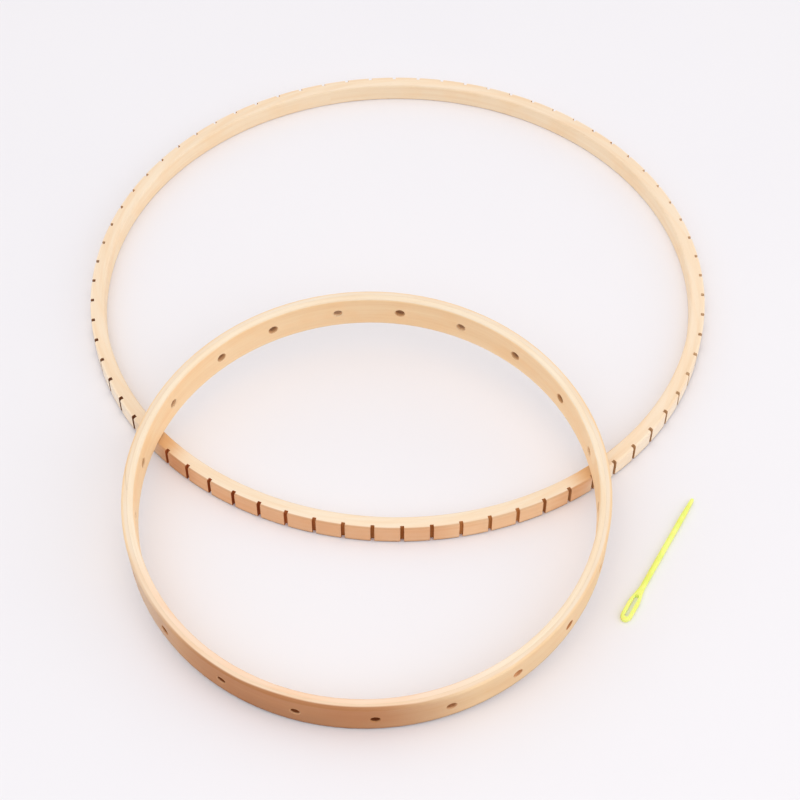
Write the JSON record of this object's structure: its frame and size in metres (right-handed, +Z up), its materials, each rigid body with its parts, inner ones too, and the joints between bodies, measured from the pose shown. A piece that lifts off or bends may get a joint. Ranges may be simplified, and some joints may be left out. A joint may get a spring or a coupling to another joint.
{
  "type": "round knitting loom",
  "caption": "Loom set of bent-wood hoops and a yarn needle: the large hoop has yarn notches round its outer face, and a smaller drilled hoop leans on it.",
  "frame": {"origin": "middle of the set's footprint, on the surface it lies on", "axes": "+Z up from the surface; +Y from the small hoop's standing side towards the large hoop's far side; +X towards the needle"},
  "size_m": [0.3, 0.3934, 0.0351],
  "materials": {
    "beech": "fine-sanded bare wood",
    "pale_beech": "fine-sanded bare wood, paler ply",
    "neon_plastic": "soft gloss moulded plastic"
  },
  "bodies": {
    "large_hoop": {"large_notched_hoop": "beech"},
    "small_hoop": {"small_hoop_outer_ply": "beech", "small_hoop_inner_ply": "pale_beech"},
    "needle": {"yarn_needle": "neon_plastic"}
  },
  "joints": [
    {"name": "small_hoop_lift", "type": "slide", "parent": "large_hoop", "child": "small_hoop", "axis": [0, 0, 1], "range_m": [0, 0.15]},
    {"name": "needle_lift", "type": "slide", "parent": "large_hoop", "child": "needle", "axis": [0, 0, 1], "range_m": [0, 0.1]}
  ]
}
